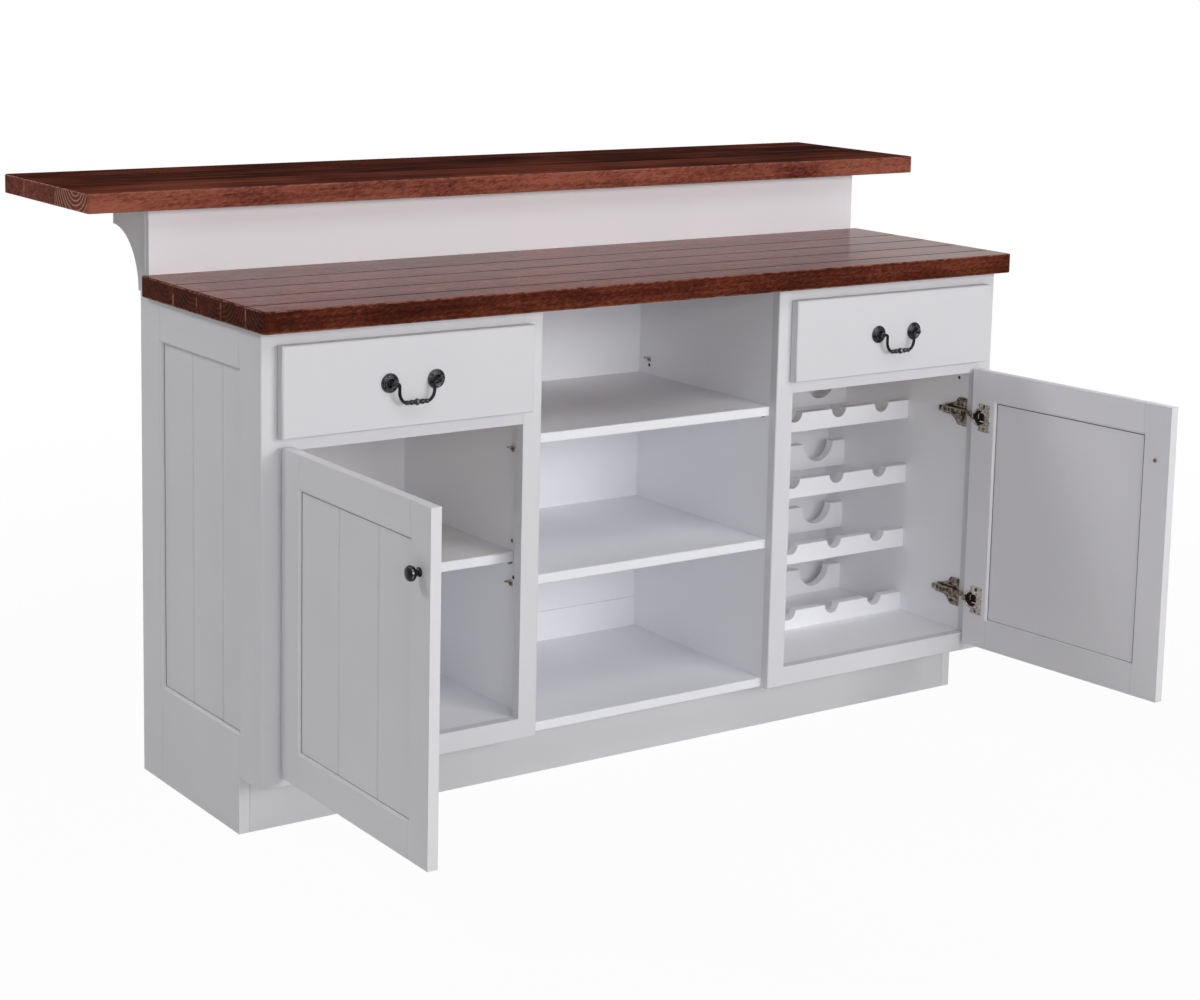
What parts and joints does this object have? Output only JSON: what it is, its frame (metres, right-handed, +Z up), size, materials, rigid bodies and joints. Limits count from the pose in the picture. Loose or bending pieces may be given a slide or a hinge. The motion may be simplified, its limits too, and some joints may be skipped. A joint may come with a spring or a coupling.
{
  "type": "bar counter with shelves",
  "caption": "Free-standing white panelled bar cabinet with shelves, drawers, doors and a bottle rack under a plank worktop and a raised plank bar.",
  "frame": {"origin": "on the floor, under the middle of the cabinet in its length and depth", "axes": "+X along the counter, with the bottle rack's cupboard at +X; -Y towards the serving side with its doors and drawers; +Y towards the customers' side; +Z up"},
  "size_m": [1.884, 1.2676, 1.067],
  "materials": {
    "white_paint": "satin paint",
    "cherry_top": "satin varnish",
    "drawer_maple": "clear lacquer",
    "dark_bronze": "oil-rubbed bronze",
    "nickel": "nickel plate",
    "zinc": "zinc plate"
  },
  "bodies": {
    "cabinet": {"back_nailer": "white_paint", "back_panels": "white_paint", "bar_planks": "cherry_top", "base_sleepers": "white_paint", "centre_floor": "white_paint", "corbels": "white_paint", "counter_planks": "cherry_top", "end_panels": "white_paint", "fixed_runners": "zinc", "hinge_arms": "nickel", "knee_wall_back": "white_paint", "knee_wall_face": "white_paint", "left_end_frame": "white_paint", "left_face_frame": "white_paint", "left_floor": "white_paint", "left_shelf": "white_paint", "lower_shelf": "white_paint", "partitions": "white_paint", "rack_front_rail_1": "white_paint", "rack_front_rail_2": "white_paint", "rack_front_rail_3": "white_paint", "rack_front_rail_4": "white_paint", "rack_rear_rail_1": "white_paint", "rack_rear_rail_2": "white_paint", "rack_rear_rail_3": "white_paint", "rack_rear_rail_4": "white_paint", "rear_frame": "white_paint", "rear_panels": "white_paint", "right_end_frame": "white_paint", "right_face_frame": "white_paint", "right_floor": "white_paint", "runner_spacers": "white_paint", "shelf_pins": "nickel", "side_panels": "white_paint", "toe_kick_board": "white_paint", "top_stretchers": "white_paint", "upper_shelf": "white_paint"},
    "left_door": {"left_door_frame": "white_paint", "left_door_knob": "dark_bronze", "left_door_panel": "white_paint", "left_hinge_cups": "nickel"},
    "left_drawer": {"left_drawer_bottom": "drawer_maple", "left_drawer_box": "drawer_maple", "left_drawer_front": "white_paint", "left_drawer_runners": "zinc", "left_pull_mounts": "dark_bronze"},
    "left_runner_middles": {"left_middle_runners": "zinc"},
    "left_bail": {"left_pull_bail": "dark_bronze"},
    "right_door": {"right_door_frame": "white_paint", "right_door_knob": "dark_bronze", "right_door_panel": "white_paint", "right_hinge_cups": "nickel"},
    "right_drawer": {"right_drawer_bottom": "drawer_maple", "right_drawer_box": "drawer_maple", "right_drawer_front": "white_paint", "right_drawer_runners": "zinc", "right_pull_mounts": "dark_bronze"},
    "right_runner_middles": {"right_middle_runners": "zinc"},
    "right_bail": {"right_pull_bail": "dark_bronze"}
  },
  "joints": [
    {"name": "left_door_hinge", "type": "hinge", "parent": "cabinet", "child": "left_door", "pos_m": [-0.7735, -0.2475, 0.4025], "axis": [0, 0, 1], "range_deg": [-5.5, 90.5]},
    {"name": "right_door_hinge", "type": "hinge", "parent": "cabinet", "child": "right_door", "pos_m": [0.7735, -0.2475, 0.4025], "axis": [0, 0, 1], "range_deg": [-94.8, 1.2]},
    {"name": "left_drawer_slide", "type": "slide", "parent": "cabinet", "child": "left_drawer", "axis": [0, -1, 0], "range_m": [0, 0.36]},
    {"name": "left_middle_slide", "type": "slide", "parent": "cabinet", "child": "left_runner_middles", "axis": [0, -1, 0], "range_m": [0, 0.18]},
    {"name": "left_bail_swing", "type": "hinge", "parent": "left_drawer", "child": "left_bail", "pos_m": [-0.5395, -0.267, 0.7755], "axis": [-1, 0, 0], "range_deg": [-12, 192]},
    {"name": "right_drawer_slide", "type": "slide", "parent": "cabinet", "child": "right_drawer", "axis": [0, -1, 0], "range_m": [0, 0.36]},
    {"name": "right_middle_slide", "type": "slide", "parent": "cabinet", "child": "right_runner_middles", "axis": [0, -1, 0], "range_m": [0, 0.18]},
    {"name": "right_bail_swing", "type": "hinge", "parent": "right_drawer", "child": "right_bail", "pos_m": [0.5395, -0.267, 0.7755], "axis": [-1, 0, 0], "range_deg": [-12, 192]}
  ],
  "couplings": [
    {"joint": "left_middle_slide", "follows": "left_drawer_slide", "ratio": 0.5},
    {"joint": "right_middle_slide", "follows": "right_drawer_slide", "ratio": 0.5}
  ]
}
